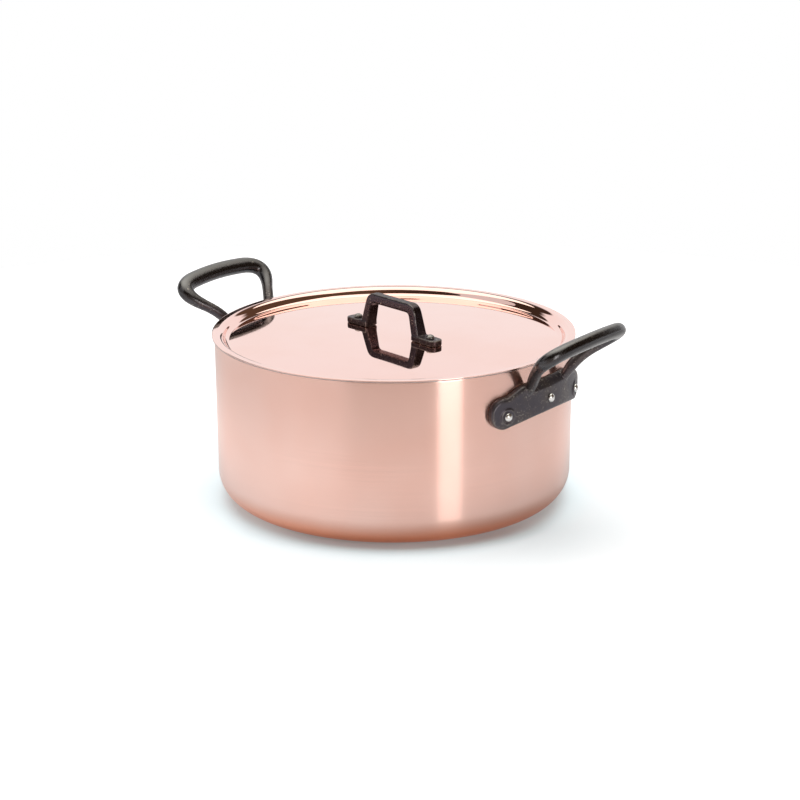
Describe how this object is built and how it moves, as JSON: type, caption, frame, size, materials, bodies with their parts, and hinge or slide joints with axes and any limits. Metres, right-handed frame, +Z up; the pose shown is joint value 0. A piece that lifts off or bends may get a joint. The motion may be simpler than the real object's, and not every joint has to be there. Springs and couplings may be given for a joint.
{
  "type": "copper cooking pot with lid",
  "caption": "Low round copper pot lined with steel, with riveted cast-iron loop handles on its sides and a lift-off recessed copper lid with a riveted bow handle.",
  "frame": {"origin": "middle of the flat base, on the surface that the pot stands on", "axes": "+Z up along the pot's axis, +X towards the right side handle, +Y to the back"},
  "size_m": [0.3272, 0.2476, 0.1393],
  "materials": {
    "wall_copper": "copper with a fine satin polish",
    "lid_copper": "mirror-polished copper",
    "steel_lining": "satin stainless steel",
    "cast_iron": "dark seasoned casting, satin",
    "rivet_steel": "polished stainless steel"
  },
  "bodies": {
    "pot": {"pot_copper_shell": "wall_copper", "pot_steel_lining": "steel_lining", "right_side_handle": "cast_iron", "left_side_handle": "cast_iron", "right_handle_rivet_1": "rivet_steel", "right_handle_rivet_2": "rivet_steel", "right_handle_rivet_3": "rivet_steel", "left_handle_rivet_1": "rivet_steel", "left_handle_rivet_2": "rivet_steel", "left_handle_rivet_3": "rivet_steel"},
    "lid": {"lid_copper_plate": "lid_copper", "lid_steel_lining": "steel_lining", "lid_bow_handle": "cast_iron", "lid_handle_rivet_1": "rivet_steel", "lid_handle_rivet_2": "rivet_steel"}
  },
  "joints": [
    {"name": "lid_lift", "type": "slide", "parent": "pot", "child": "lid", "axis": [0, 0, 1], "range_m": [0, 0.25]}
  ]
}
